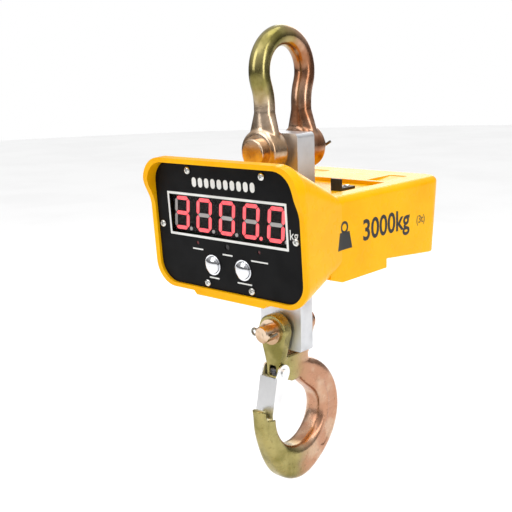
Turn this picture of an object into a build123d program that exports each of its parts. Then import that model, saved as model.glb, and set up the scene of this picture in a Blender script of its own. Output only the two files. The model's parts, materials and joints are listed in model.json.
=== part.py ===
from build123d import *
import math
import os

os.makedirs("parts", exist_ok=True)

# All sizes are in millimetres. The origin is on the inside of the shackle's crown,
# where a crane hook bears. +Z is up, +X is to the right of someone reading the
# display, and the display faces -Y.

# Lifting line: heights of the two pins
BOW_INSIDE = 90.5             # inside of the crown down to the shackle pin axis
PIN_SPAN = 166.9              # shackle pin axis down to hook pin axis
SHACKLE_PIN_Z = -BOW_INSIDE
HOOK_PIN_Z = SHACKLE_PIN_Z - PIN_SPAN
PIN_PLAY = 0.05               # radial clearance of a pin in a hole that turns on it

# Shackle
BAR_DIA = 18.8
JAW = 32.0
EAR_DIA = 40.0
EAR_THICK = 21.5
EAR_ROUND = 3.5
SHOULDER_TALL = 34.0          # pin axis up to where the ear has become the round bar
BOW_RADIUS = 31.0             # axis of the bar round the crown
FLARE_RADIUS = 50.0           # axis of the bar where the bow narrows to its legs
SHACKLE_PIN_DIA = 17.0
HEAD_DIA = 24.5
HEAD_THICK = 6.5
NUT_FLATS = 24.0
NUT_THICK = 7.5
PIN_TAIL = 6.8                # of the pin past its nut
COTTER_PAST_NUT = 3.2
COTTER_WIRE = 3.0

# Load cell
CELL_WIDTH = 49.0
CELL_FRONT = -11.0            # front face, the same at both ends
CELL_UPPER_DEEP = 24.0
CELL_LOWER_DEEP = 17.0
CELL_OVER_PIN = 15.0          # metal above the shackle pin axis
CELL_UNDER_PIN = 19.4
CELL_UPPER_LONG = 68.0
WAIST_OVER_FLOOR = 20.6       # the gauged waist starts this far above the housing's underside
GAUGE_HOLE_DIA = 14.0
GAUGE_POCKET_DEEP = 9.0
GAUGE_COVER_THICK = 1.5

# Display panel, tilted so that someone below reads it square on
PANEL_TILT = 3.15
PANEL_Y = -80.5
PANEL_Z = SHACKLE_PIN_Z - 52.9    # height of the digits' centre line
PANEL_HALF = 84.5
PANEL_TOP = 47.0              # above the digits' centre line, along the panel
PANEL_BOTTOM = -65.0
PANEL_RADIUS = 20.0
PANEL_THICK = 2.0
PANEL_GAP = 0.3
GASKET_THICK = 1.0
SCREW_HEAD_DIA = 6.7
SCREW_HEAD_TALL = 2.0
SCREW_SHANK_DIA = 3.0
SCREW_LONG = 9.0

# Display
DIGITS = 5
DIGIT_PITCH = 27.8
DIGIT_WIDTH = 27.6
DIGIT_TALL = 34.0
DIGIT_DEEP = 9.0
WINDOW_WIDE = 140.0
WINDOW_TALL = 39.5
WINDOW_THICK = 1.6
WINDOW_BORDER = 2.2           # the printed frame round the opening
LAMP_DIA = 3.0
LAMP_HEIGHT = -24.6
LAMP_X = (-36.0, 36.8)
RECEIVER_DIA = 5.0

# Push buttons
BUTTON_X = 18.1
BUTTON_HEIGHT = -42.5
BUTTON_DIA = 15.0
BUTTON_PROUD = 5.0
BUTTON_TRAVEL = 1.2
BUTTON_PLAY = 0.35
BEZEL_FLANGE = 1.7            # how far the bezel reaches round the button, in front
BEZEL_DIA = BUTTON_DIA + 2 * BEZEL_FLANGE
BEZEL_PROUD = 1.2
BEZEL_WALL = 1.2
BEZEL_BODY_DIA = BUTTON_DIA + 2 * BEZEL_WALL
BEZEL_DEEP = 8.0
BUTTON_STEM = 6.0

# Housing
WALL = 3.5
RIM_HALF = 90.0
RIM_TOP = 51.5
RIM_BOTTOM = -69.0
RIM_RADIUS = 23.0
RIM_PROUD = 2.5
VISOR_PROUD = 10.0
VISOR_LOW = 5.0               # where the visor's edge starts to leave the rim
VISOR_HIGH = 34.0             # where it reaches its full depth
BODY_HALF = 80.0
BODY_TOP = SHACKLE_PIN_Z - 34.9
BODY_BOTTOM = BODY_TOP - 74.0
CELL_LOWER_LONG = BODY_BOTTOM + WAIST_OVER_FLOOR - (HOOK_PIN_Z - CELL_UNDER_PIN)
BODY_TAIL_BOTTOM = BODY_TOP - 64.0
BODY_STEP_Y = 46.0
BODY_FRONT_Y = -21.5
BODY_REAR_Y = 145.0
BODY_REAR_RADIUS = 18.0
BODY_ROUND = 8.0
REAR_DRAFT = 8.0
SKIRT_FRONT = BODY_TAIL_BOTTOM - 2.1    # lower edge of the skirt round the tail, at the step
SKIRT_REAR = BODY_TAIL_BOTTOM - 10.6
SKIRT_ROUND = 2.0
BELL_REAR_BOTTOM = BODY_TOP - 61.6
SEAT_DEEP = PANEL_THICK + GASKET_THICK  # the panel's seat below the panel's face
SEAT_THICK = 3.0
SEAT_WIDE = 10.0
CHIN_RUN = 16.0               # the body's lower front corner, under the bell
CHIN_RISE = 5.0
CHIN_HALF = 43.0
CHIN_DROP = 4.5
CHIN_Z = PANEL_Z - 68.1
CHIN_FRONT_Y = -79.0
CHIN_REAR_Y = -64.0
SLOT_X = 47.0
SLOT_Y = 76.0
SLOT_LONG = 40.0
SLOT_WIDE = 20.0
SLOT_DEEP = 3.0
TRAY_HALF = 62.0
TRAY_DEEP = 5.5
TRAY_FRONT_Y = -17.0
TRAY_REAR_Y = 70.0
COLLAR_WIDE = 4.0
COLLAR_TALL = 5.0
FIT_GAP = 0.4                 # between pieces that are only laid beside each other

COVER_THICK = 2.0
BRACKET_X = 35.5
BRACKET_Y = 22.0
BRACKET_WIDE = 11.0
BRACKET_LONG = 22.0
BRACKET_THICK = 2.5
BRACKET_TALL = 11.0
CLAMP_THICK = 3.0
CLAMP_TALL = 14.0
CLAMP_REACH = 34.0
DOOR_HALF = 53.0
DOOR_FRONT_Y = BODY_STEP_Y + 3.0
DOOR_REAR_Y = 108.5
DOOR_LAP = 7.0

# Electronics and battery
BOARD_THICK = 1.6
BOARD_WIDE = 150.0
BOARD_TALL = 90.0
BATTERY = (101.0, 70.0, 46.0)
BATTERY_Y = BODY_STEP_Y + 23.5
STRAP_WIDE = 16.0
STRAP_THICK = 1.5
CABLE_DIA = 4.0
SOCKET_DIA = 12.0
SOCKET_BORE = 5.5
SOCKET_BORE_DEEP = 9.0

SOCKET_X = 42.0
SOCKET_Z = BODY_TOP - 34.6
SOCKET_FACE_Y = BODY_REAR_Y + 0.5
SOCKET_LONG = 16.0
SOCKET_FLANGE = 1.5
BOARD_MIDDLE = -9.0           # board centre, measured from the digits' centre line
PLUG_DEEP = 7.0
CABLE_PLUG = (-52.0, -20.0)
LOOM_PLUG = (50.0, -8.0)
LOOM_X = 36.0

# Hook
HOOK_PIN_FRONT = -39.0
HOOK_PIN_HEAD = 22.0
WASHER_THICK = 2.5
NOSE_BACK_Y = -40.0
HOOK_PIN_DIA = 16.0
FORK_FRONT = -24.5
FORK_REAR = 20.5
FORK_JAW_FRONT = -13.0
FORK_JAW_REAR = 9.0
FORK_EAR_DIA = 32.0
NECK_HALF = 8.0
SADDLE_Z = HOOK_PIN_Z - 26.1
BOWL_Y = 4.5
BOWL_Z = HOOK_PIN_Z - 89.0
BOWL_RADIUS = 31.0
HOOK_THICK = 26.0
NOSE_THICK = 12.5
LEDGE_Z = BOWL_Z + 6.9
NOSE_TOP_Z = BOWL_Z + 18.4

# Safety latch
LATCH_Y = -19.7
LATCH_Z = HOOK_PIN_Z - 40.0
LATCH_SWEEP = 45.2            # radius that the latch tip needs, with its clearance
LATCH_WIDE = 21.0
LATCH_SHEET = 1.8
LATCH_EAR_RADIUS = 8.0
RIVET_DIA = 5.0
SPRING_WIDE = 7.0
SPRING_DIA = 9.0

TILT = math.radians(PANEL_TILT)
PANEL_OUT = (0, -math.cos(TILT), -math.sin(TILT))
PANEL = Plane(origin=(0, PANEL_Y, PANEL_Z), x_dir=(1, 0, 0), z_dir=PANEL_OUT)
PANEL_SIDE = Plane(origin=(0, PANEL_Y, PANEL_Z), x_dir=PANEL_OUT, z_dir=(-1, 0, 0))
PANEL_MIDDLE = (PANEL_TOP + PANEL_BOTTOM) / 2
RIM_MIDDLE = (RIM_TOP + RIM_BOTTOM) / 2
SCREW_PLACES = (
    (-41.0, 39.9), (45.4, 39.9), (-78.3, -11.0),
    (78.3, -11.0), (-26.4, -60.2), (26.4, -60.2),
)


def write(shape, name):
    export_step(shape, f"parts/{name}.step")


def group(shapes):
    return Compound(children=list(shapes))


def rod_x(dia, x_from, x_to, y, z):
    return Pos((x_from + x_to) / 2, y, z) * Rot(0, 90, 0) * Cylinder(dia / 2, x_to - x_from)


def rod_y(dia, y_from, y_to, x, z):
    return Pos(x, (y_from + y_to) / 2, z) * Rot(90, 0, 0) * Cylinder(dia / 2, y_to - y_from)


def rod_z(dia, z_from, z_to, x, y):
    return Pos(x, y, (z_from + z_to) / 2) * Cylinder(dia / 2, z_to - z_from)


def block(x_from, x_to, y_from, y_to, z_from, z_to):
    middle = ((x_from + x_to) / 2, (y_from + y_to) / 2, (z_from + z_to) / 2)
    return Pos(*middle) * Box(x_to - x_from, y_to - y_from, z_to - z_from)


def side_slab(points, half):
    face = Plane.YZ * make_face(Polyline(*points, close=True))
    return extrude(face, amount=half, dir=(1, 0, 0), both=True)


def front_slab(points, y_from, y_to):
    face = Plane.XZ * make_face(Polyline(*points, close=True))
    return Pos(0, y_from, 0) * extrude(face, amount=y_to - y_from, dir=(0, 1, 0))


# ---- Shackle -------------------------------------------------------------

def shackle_bow():
    leg_y = (JAW + BAR_DIA) / 2
    crown_z = BAR_DIA / 2 - BOW_RADIUS
    flare_y = leg_y + FLARE_RADIUS
    flare_drop = math.sqrt((BOW_RADIUS + FLARE_RADIUS) ** 2 - flare_y ** 2)
    flare_z = crown_z - flare_drop
    share = BOW_RADIUS / (BOW_RADIUS + FLARE_RADIUS)
    join_y = flare_y * share
    join_z = crown_z - flare_drop * share
    turn = math.degrees(math.atan2(flare_drop, flare_y))
    section = Circle(BAR_DIA / 2)
    crown_start = Plane(origin=(0, join_y, join_z), x_dir=(1, 0, 0), z_dir=(0, flare_drop, flare_y))
    crown_axis = Axis((0, 0, crown_z), (1, 0, 0))
    bow = revolve(crown_start * section, axis=crown_axis, revolution_arc=180 + 2 * turn)
    for side in (-1, 1):
        bow += rod_z(BAR_DIA, SHACKLE_PIN_Z + SHOULDER_TALL, flare_z, 0, side * leg_y)
        flare_start = Plane(origin=(0, side * leg_y, flare_z))
        flare_axis = Axis((0, side * flare_y, flare_z), (-side, 0, 0))
        bow += revolve(flare_start * section, axis=flare_axis, revolution_arc=turn)
    for side in (-1, 1):
        bow += shackle_ear(side)
    return bow - rod_y(SHACKLE_PIN_DIA, -JAW - EAR_DIA, JAW + EAR_DIA, 0, SHACKLE_PIN_Z)


def shackle_ear(side):
    inner = JAW / 2
    middle = inner + EAR_THICK / 2
    ear = rod_y(EAR_DIA, inner, inner + EAR_THICK, 0, SHACKLE_PIN_Z)
    ear = fillet(ear.edges().filter_by(GeomType.CIRCLE), EAR_ROUND)
    low = Plane(origin=(0, middle, SHACKLE_PIN_Z + EAR_DIA * 0.2))
    high = Plane(origin=(0, inner + BAR_DIA / 2, SHACKLE_PIN_Z + SHOULDER_TALL))
    shoulder = loft([low * Ellipse(EAR_DIA * 0.44, EAR_THICK / 2 - 0.6), high * Circle(BAR_DIA / 2)])
    ear += shoulder
    return ear if side > 0 else mirror(ear, Plane.XZ)


def shackle_pin():
    outer = JAW / 2 + EAR_THICK
    head = rod_y(HEAD_DIA, -outer - HEAD_THICK, -outer, 0, SHACKLE_PIN_Z)
    head = fillet(head.edges().group_by(Axis.Y)[0], 1.5)
    shank = rod_y(SHACKLE_PIN_DIA, -outer, outer + NUT_THICK + PIN_TAIL, 0, SHACKLE_PIN_Z)
    shank = chamfer(shank.edges().group_by(Axis.Y)[-1], 1.5)
    hole_y = outer + NUT_THICK + COTTER_PAST_NUT
    hole = rod_x(COTTER_WIRE + 0.6, -EAR_DIA, EAR_DIA, hole_y, SHACKLE_PIN_Z)
    return head + shank - hole


def shackle_nut():
    outer = JAW / 2 + EAR_THICK
    hexagon = Plane.XZ * RegularPolygon(NUT_FLATS / 2, 6, major_radius=False)
    nut = Pos(0, outer, SHACKLE_PIN_Z) * extrude(hexagon, amount=NUT_THICK, dir=(0, 1, 0))
    cone = Pos(0, outer + NUT_THICK / 2, SHACKLE_PIN_Z) * Rot(-90, 0, 0)
    cone = cone * Cone(NUT_FLATS / 2 + NUT_THICK + 1, NUT_FLATS / 2 + 0.3, NUT_THICK)
    return (nut & cone) - rod_y(SHACKLE_PIN_DIA, outer - 1, outer + NUT_THICK + 1, 0, SHACKLE_PIN_Z)


def cotter(y, z, reach):
    leg = COTTER_WIRE / 2
    wire = rod_x(COTTER_WIRE, -reach, reach, y, z)
    loop = Pos(-reach - 2.2, y, z) * Rot(90, 0, 0) * Torus(3.0, leg * 0.72)
    tail = Pos(reach, y, z) * Rot(0, 60, 0) * Pos(0, 0, 3) * Cylinder(leg * 0.8, 6)
    return wire + loop + tail


# ---- Load cell -----------------------------------------------------------

def cell_ends():
    return SHACKLE_PIN_Z + CELL_OVER_PIN, HOOK_PIN_Z - CELL_UNDER_PIN


def waist_ends():
    top, bottom = cell_ends()
    return top - CELL_UPPER_LONG, bottom + CELL_LOWER_LONG


def load_cell():
    top, bottom = cell_ends()
    waist_top, waist_bottom = waist_ends()
    half = CELL_WIDTH / 2
    upper = block(-half, half, CELL_FRONT, CELL_FRONT + CELL_UPPER_DEEP, waist_top, top)
    upper = fillet(upper.edges().filter_by(Axis.Y).group_by(Axis.Z)[-1], 4.0)
    lower = block(-half, half, CELL_FRONT, CELL_FRONT + CELL_LOWER_DEEP, bottom, waist_bottom)
    lower = chamfer(lower.edges().filter_by(Axis.Y).group_by(Axis.Z)[0], 1.0)
    waist = block(-half, half, CELL_FRONT, CELL_FRONT + CELL_LOWER_DEEP, waist_bottom, waist_top)
    cell = upper + lower + waist
    middle = (waist_top + waist_bottom) / 2
    tall = waist_top - waist_bottom
    for side in (-1, 1):
        x = side * (half - GAUGE_POCKET_DEEP / 2)
        pocket = Pos(x, CELL_FRONT + CELL_LOWER_DEEP / 2, middle)
        cell -= pocket * Box(GAUGE_POCKET_DEEP, CELL_LOWER_DEEP - 6, tall - 8)
    cell -= rod_y(GAUGE_HOLE_DIA, CELL_FRONT - 1, CELL_FRONT + CELL_UPPER_DEEP, 0, middle)
    near = CELL_FRONT - 1
    far = CELL_FRONT + CELL_UPPER_DEEP + 1
    cell -= rod_y(SHACKLE_PIN_DIA + 2 * PIN_PLAY, near, far, 0, SHACKLE_PIN_Z)
    cell -= rod_y(HOOK_PIN_DIA + 2 * PIN_PLAY, near, far, 0, HOOK_PIN_Z)
    return cell


def gauge_cover(side):
    waist_top, waist_bottom = waist_ends()
    half = CELL_WIDTH / 2
    x_from = half if side > 0 else -half - GAUGE_COVER_THICK
    y_from = CELL_FRONT + 0.5
    y_to = CELL_FRONT + CELL_LOWER_DEEP - 0.5
    plate = block(x_from, x_from + GAUGE_COVER_THICK, y_from, y_to, waist_bottom, waist_top)
    return fillet(plate.edges().filter_by(Axis.X), 2.0)


def gauge_cover_screws():
    waist_top, waist_bottom = waist_ends()
    outer = CELL_WIDTH / 2 + GAUGE_COVER_THICK
    y = CELL_FRONT + CELL_LOWER_DEEP / 2
    screws = []
    for side in (-1, 1):
        for z in (waist_top - 2.5, waist_bottom + 2.5):
            lo, hi = sorted((side * outer, side * (outer + 1.6)))
            screws.append(rod_x(4.0, lo, hi, y, z))
    return group(screws)


# ---- Housing -------------------------------------------------------------

def panel_outline(half, top, bottom, radius, depth):
    place = PANEL * Pos(0, (top + bottom) / 2, depth)
    return place * RectangleRounded(2 * half, top - bottom, radius)


def bell(inset, depth):
    # From the rim back to the body, getting narrower and lower.
    front = panel_outline(RIM_HALF - inset, RIM_TOP - inset, RIM_BOTTOM + inset, RIM_RADIUS - inset, depth)
    low = BELL_REAR_BOTTOM + inset
    high = BODY_TOP - inset
    plane = Plane(origin=(0, BODY_FRONT_Y, (low + high) / 2), x_dir=(1, 0, 0), z_dir=(0, -1, 0))
    rear = plane * RectangleRounded(2 * (BODY_HALF - inset), high - low, BODY_ROUND - inset / 2)
    return loft([front, rear], ruled=True)


def body(inset, tail_front, tail_rear, low_round):
    # A long box with a deeper front part. The tail's lower edge may slope.
    top = BODY_TOP - inset
    front = BODY_FRONT_Y + inset
    rear = BODY_REAR_Y - inset
    step = BODY_STEP_Y - inset
    low = BODY_BOTTOM + inset
    points = [
        (front, top), (rear, top), (rear - REAR_DRAFT, tail_rear), (step, tail_front), (step, low),
        (front, low), (front - CHIN_RUN, low + CHIN_RISE), (front - CHIN_RUN, top),
    ]
    box = side_slab(points, BODY_HALF - inset)
    upright = [e for e in box.edges() if e.center().Y > rear - 12 and abs(e.tangent_at(0.5).Z) > 0.9]
    box = fillet(upright, BODY_REAR_RADIUS - inset)
    top_edges = [e for e in box.edges() if on_level(e, top) and e.center().Y > front - CHIN_RUN / 2]
    box = fillet(top_edges, BODY_ROUND - 2 - inset / 2)
    deepest = max(tail_front, tail_rear) + 1
    tail = [e for e in box.edges() if e.center().Y > step + 1 and e.center().Z < deepest]
    return fillet(tail, low_round)


def tail_pocket():
    # The space inside the skirt, under the flat floor that carries the battery door.
    front = BODY_STEP_Y - WALL
    rear = BODY_REAR_Y - REAR_DRAFT - WALL
    half = BODY_HALF - WALL
    low = SKIRT_REAR - 5
    pocket = block(-half, half, BODY_STEP_Y, rear, low, BODY_TAIL_BOTTOM)
    corners = [e for e in pocket.edges().filter_by(Axis.Z) if e.center().Y > front + 10]
    return fillet(corners, BODY_REAR_RADIUS - WALL)


def on_level(edge, z):
    return abs(edge.center().Z - z) < 0.01 and abs(edge.position_at(0).Z - z) < 0.01


def visor_cut():
    # What is taken off the rim in front of the visor's curved side edges.
    far = VISOR_PROUD + 20
    edge = [
        Line((RIM_PROUD, RIM_BOTTOM - 20), (RIM_PROUD, VISOR_LOW)),
        Spline([(RIM_PROUD, VISOR_LOW), (VISOR_PROUD, VISOR_HIGH)], tangents=[(0, 1), (0, 1)]),
        Line((VISOR_PROUD, VISOR_HIGH), (VISOR_PROUD, RIM_TOP + 20)),
        Line((VISOR_PROUD, RIM_TOP + 20), (far, RIM_TOP + 20)),
        Line((far, RIM_TOP + 20), (far, RIM_BOTTOM - 20)),
        Line((far, RIM_BOTTOM - 20), (RIM_PROUD, RIM_BOTTOM - 20)),
    ]
    return extrude(PANEL_SIDE * make_face(edge), amount=RIM_HALF + 10, dir=(1, 0, 0), both=True)


def rim():
    outer = panel_outline(RIM_HALF, RIM_TOP, RIM_BOTTOM, RIM_RADIUS, 0)
    collar = extrude(outer, amount=VISOR_PROUD, dir=PANEL_OUT)
    return collar - visor_cut()


def panel_recess():
    half = PANEL_HALF + PANEL_GAP
    outline = panel_outline(half, PANEL_TOP + PANEL_GAP, PANEL_BOTTOM - PANEL_GAP, PANEL_RADIUS, -SEAT_DEEP)
    return extrude(outline, amount=SEAT_DEEP + VISOR_PROUD + 5, dir=PANEL_OUT)


def panel_bosses(depth_from, depth_to, dia):
    middle = (depth_from + depth_to) / 2
    tall = depth_to - depth_from
    return [PANEL * Pos(x, s, middle) * Cylinder(dia / 2, tall) for x, s in SCREW_PLACES]


def chin():
    # The lip along the middle of the lower rim.
    lip = block(-CHIN_HALF, CHIN_HALF, CHIN_FRONT_Y, CHIN_REAR_Y, CHIN_Z - CHIN_DROP, CHIN_Z + 6)
    return chamfer(lip.edges().filter_by(Axis.Y).group_by(Axis.Z)[0], 3.0)


def cell_hole(z_from, z_to, deep, gap):
    half = CELL_WIDTH / 2 + gap
    return block(-half, half, CELL_FRONT - gap, CELL_FRONT + deep + gap, z_from, z_to)


def tray(grow, z_from, z_to):
    half = TRAY_HALF + grow
    return block(-half, half, TRAY_FRONT_Y - grow, TRAY_REAR_Y + grow, z_from, z_to)


def finger_slot(side):
    # A shallow slanted slot in the rear of the top, one each side.
    x = side * SLOT_X
    rear = SLOT_Y + SLOT_LONG
    over = BODY_TOP + 2
    points = [(SLOT_Y, BODY_TOP - SLOT_DEEP), (rear, BODY_TOP - 0.5), (rear, over), (SLOT_Y, over)]
    return Pos(x, 0, 0) * side_slab(points, SLOT_WIDE / 2)


def housing_shell():
    shell = bell(0, 0) + body(0, SKIRT_FRONT, SKIRT_REAR, SKIRT_ROUND) + rim() + chin()
    floor = BODY_TAIL_BOTTOM + WALL
    shell -= bell(WALL, -SEAT_DEEP - SEAT_THICK) + body(WALL, floor, floor, BODY_ROUND / 2)
    shell -= tail_pocket()
    seat_hole = panel_outline(
        PANEL_HALF - SEAT_WIDE, PANEL_TOP - SEAT_WIDE, PANEL_BOTTOM + SEAT_WIDE,
        PANEL_RADIUS - SEAT_WIDE, -SEAT_DEEP - SEAT_THICK - 1)
    shell -= extrude(seat_hole, amount=SEAT_THICK + 2, dir=PANEL_OUT)
    shell -= panel_recess()
    for boss in panel_bosses(-SEAT_DEEP - SEAT_THICK - 4, -SEAT_DEEP, 9.0):
        shell += boss
    for hole in panel_bosses(-SEAT_DEEP - SEAT_THICK - 6, 1, SCREW_SHANK_DIA):
        shell -= hole
    shell += tray(WALL, BODY_TOP - TRAY_DEEP - WALL, BODY_TOP - WALL / 2)
    shell -= tray(0, BODY_TOP - TRAY_DEEP, BODY_TOP + 1)
    shell -= cell_hole(BODY_TOP - 30, BODY_TOP + 30, CELL_UPPER_DEEP, COLLAR_WIDE)
    shell -= cell_hole(BODY_BOTTOM - 20, BODY_BOTTOM + 20, CELL_LOWER_DEEP, COLLAR_WIDE)
    shell += socket_boss()
    shell -= rod_y(SOCKET_DIA, BODY_REAR_Y - 30, SOCKET_FACE_Y + 5, SOCKET_X, SOCKET_Z)
    for side in (-1, 1):
        shell -= finger_slot(side)
    return shell - door_opening()


# ---- Covers, seals and brackets ------------------------------------------

def top_collar():
    low = BODY_TOP - TRAY_DEEP - WALL
    high = BODY_TOP - TRAY_DEEP + COLLAR_TALL
    ring = cell_hole(low, high, CELL_UPPER_DEEP, COLLAR_WIDE)
    return ring - cell_hole(low - 1, high + 1, CELL_UPPER_DEEP, 0)


def bottom_collar():
    low = BODY_BOTTOM - 1.5
    high = BODY_BOTTOM + WALL
    ring = cell_hole(low, high, CELL_LOWER_DEEP, COLLAR_WIDE)
    return ring - cell_hole(low - 1, high + 1, CELL_LOWER_DEEP, 0)


def top_cover():
    floor = BODY_TOP - TRAY_DEEP
    half = TRAY_HALF - FIT_GAP
    plate = block(-half, half, TRAY_FRONT_Y + FIT_GAP, TRAY_REAR_Y - FIT_GAP, floor, floor + COVER_THICK)
    plate -= cell_hole(floor - 1, floor + 9, CELL_UPPER_DEEP, COLLAR_WIDE + FIT_GAP)
    return plate


def top_cover_screws():
    top = BODY_TOP - TRAY_DEEP + COVER_THICK
    places = [(x, y) for x in (-TRAY_HALF + 6, TRAY_HALF - 6) for y in (TRAY_FRONT_Y + 8, TRAY_REAR_Y - 8)]
    return group(rod_z(6.0, top, top + 1.6, x, y) for x, y in places)


def tie_bracket():
    # A black angle on the cover, beside the load cell.
    floor = BODY_TOP - TRAY_DEEP + COVER_THICK
    right = BRACKET_X + BRACKET_WIDE
    foot_rear = BRACKET_Y + BRACKET_LONG
    upright_rear = BRACKET_Y + BRACKET_THICK
    foot = block(BRACKET_X, right, BRACKET_Y, foot_rear, floor, floor + BRACKET_THICK)
    upright = block(BRACKET_X, right, BRACKET_Y, upright_rear, floor, floor + BRACKET_TALL)
    return foot + upright


def tie_bracket_screws():
    top = BODY_TOP - TRAY_DEEP + COVER_THICK + BRACKET_THICK
    x = BRACKET_X + BRACKET_WIDE / 2
    return group(rod_z(5.0, top, top + 1.4, x, BRACKET_Y + y) for y in (8.0, 17.0))


def cell_bracket(side):
    # Inside the housing, from its floor to the side of the load cell.
    face = CELL_WIDTH / 2
    floor = BODY_BOTTOM + WALL
    rear = CELL_FRONT + CELL_LOWER_DEEP
    leg = block(face, face + CLAMP_THICK, CELL_FRONT, rear, floor, floor + CLAMP_TALL)
    foot = block(face, face + CLAMP_REACH, CELL_FRONT, rear, floor, floor + CLAMP_THICK)
    angle = leg + foot
    return angle if side > 0 else mirror(angle, Plane.YZ)


def cell_bracket_bolts():
    face = CELL_WIDTH / 2 + CLAMP_THICK
    y = CELL_FRONT + CELL_LOWER_DEEP / 2
    floor = BODY_BOTTOM + WALL + CLAMP_THICK
    bolts = []
    for side in (-1, 1):
        lo, hi = sorted((side * face, side * (face + 3.5)))
        bolts.append(rod_x(8.0, lo, hi, y, floor + 6.5))
        bolts.append(rod_z(8.0, floor, floor + 3.5, side * (face + 18), y))
    return group(bolts)


def battery_door():
    low = BODY_TAIL_BOTTOM - COVER_THICK
    return block(-DOOR_HALF, DOOR_HALF, DOOR_FRONT_Y, DOOR_REAR_Y, low, BODY_TAIL_BOTTOM)


def battery_door_screws():
    low = BODY_TAIL_BOTTOM - COVER_THICK
    places = [(x, y) for x in (-DOOR_HALF + 4, DOOR_HALF - 4) for y in (DOOR_FRONT_Y + 4, DOOR_REAR_Y - 4)]
    return group(rod_z(5.0, low - 1.4, low, x, y) for x, y in places)


def door_opening():
    edge = DOOR_LAP
    return block(
        -DOOR_HALF + edge, DOOR_HALF - edge, DOOR_FRONT_Y + edge, DOOR_REAR_Y - edge,
        BODY_TAIL_BOTTOM - 5, BODY_TAIL_BOTTOM + WALL + 1)


# ---- Battery and charging ------------------------------------------------

def battery_floor():
    return BODY_TAIL_BOTTOM + WALL + 2


def battery():
    wide, deep, tall = BATTERY
    floor = battery_floor()
    cell = block(-wide / 2, wide / 2, BATTERY_Y - deep / 2, BATTERY_Y + deep / 2, floor, floor + tall)
    return fillet(cell.edges().filter_by(Axis.Z), 3.0)


def battery_pad():
    reach = DOOR_HALF - DOOR_LAP - 2
    front = DOOR_FRONT_Y + DOOR_LAP + 2
    rear = DOOR_REAR_Y - DOOR_LAP - 2
    return block(-reach, reach, front, rear, BODY_TAIL_BOTTOM, battery_floor())


def battery_strap():
    wide, deep, tall = BATTERY
    half = wide / 2
    floor = BODY_TAIL_BOTTOM + WALL
    top = battery_floor() + tall
    thick = STRAP_THICK
    points = [
        (-half - 14, floor), (-half - thick, floor), (-half, floor), (-half, top), (half, top), (half, floor),
        (half + 14, floor), (half + 14, floor + thick),
        (half + thick, floor + thick), (half + thick, top + thick),
        (-half - thick, top + thick), (-half - thick, floor + thick), (-half - 14, floor + thick),
    ]
    return front_slab(points, BATTERY_Y - STRAP_WIDE / 2, BATTERY_Y + STRAP_WIDE / 2)


def battery_strap_screws():
    low = BODY_TAIL_BOTTOM + WALL + STRAP_THICK
    x = BATTERY[0] / 2 + 8
    return group(rod_z(6.0, low, low + 2.0, side * x, BATTERY_Y) for side in (-1, 1))


def socket_boss():
    return rod_y(SOCKET_DIA + 8, BODY_REAR_Y - 9, SOCKET_FACE_Y, SOCKET_X, SOCKET_Z)


def charging_socket():
    barrel = rod_y(SOCKET_DIA, SOCKET_FACE_Y - SOCKET_LONG, SOCKET_FACE_Y, SOCKET_X, SOCKET_Z)
    flange = rod_y(SOCKET_DIA + 4, SOCKET_FACE_Y, SOCKET_FACE_Y + SOCKET_FLANGE, SOCKET_X, SOCKET_Z)
    mouth = SOCKET_FACE_Y + SOCKET_FLANGE
    return barrel + flange - rod_y(SOCKET_BORE, mouth - SOCKET_BORE_DEEP, mouth + 1, SOCKET_X, SOCKET_Z)


def charge_lead():
    rear = BATTERY_Y + BATTERY[1] / 2
    return rod_y(3.0, rear, SOCKET_FACE_Y - SOCKET_LONG, SOCKET_X, SOCKET_Z)


# ---- Display and controls ------------------------------------------------

def panel_slab(width, tall, x, s, depth_from, depth_to):
    return PANEL * Pos(x, s, (depth_from + depth_to) / 2) * Box(width, tall, depth_to - depth_from)


def panel_rod(dia, x, s, depth_from, depth_to):
    return PANEL * Pos(x, s, (depth_from + depth_to) / 2) * Cylinder(dia / 2, depth_to - depth_from)


def display_panel():
    outline = panel_outline(PANEL_HALF, PANEL_TOP, PANEL_BOTTOM, PANEL_RADIUS, -PANEL_THICK)
    panel = extrude(outline, amount=PANEL_THICK, dir=PANEL_OUT)
    border = 2 * WINDOW_BORDER
    panel -= panel_slab(WINDOW_WIDE - border, WINDOW_TALL - border, 0, 0, -PANEL_THICK - 1, 1)
    for x, s in SCREW_PLACES:
        panel -= panel_rod(SCREW_SHANK_DIA + FIT_GAP, x, s, -PANEL_THICK - 1, 1)
    for side in (-1, 1):
        panel -= panel_rod(BEZEL_BODY_DIA, side * BUTTON_X, BUTTON_HEIGHT, -PANEL_THICK - 1, 1)
    for x in LAMP_X:
        panel -= panel_rod(LAMP_DIA + FIT_GAP, x, LAMP_HEIGHT, -PANEL_THICK - 1, 1)
    return panel - panel_rod(RECEIVER_DIA + FIT_GAP, 0, LAMP_HEIGHT, -PANEL_THICK - 1, 1)


def panel_gasket():
    outer = panel_outline(PANEL_HALF, PANEL_TOP, PANEL_BOTTOM, PANEL_RADIUS, -SEAT_DEEP)
    wide = SEAT_WIDE - 0.5
    inner = panel_outline(
        PANEL_HALF - wide, PANEL_TOP - wide, PANEL_BOTTOM + wide, PANEL_RADIUS - wide, -SEAT_DEEP)
    ring = extrude(outer, amount=GASKET_THICK, dir=PANEL_OUT)
    ring -= extrude(inner, amount=GASKET_THICK, dir=PANEL_OUT)
    for x, s in SCREW_PLACES:
        ring -= panel_rod(SCREW_SHANK_DIA + FIT_GAP, x, s, -SEAT_DEEP - 1, 1)
    return ring


def panel_screws():
    screws = []
    for x, s in SCREW_PLACES:
        head = PANEL * Pos(x, s, SCREW_HEAD_TALL / 2) * Cylinder(SCREW_HEAD_DIA / 2, SCREW_HEAD_TALL)
        shank = panel_rod(SCREW_SHANK_DIA - 0.1, x, s, -SCREW_LONG, 0)
        screws.append(head + shank)
    return group(screws)


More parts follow.
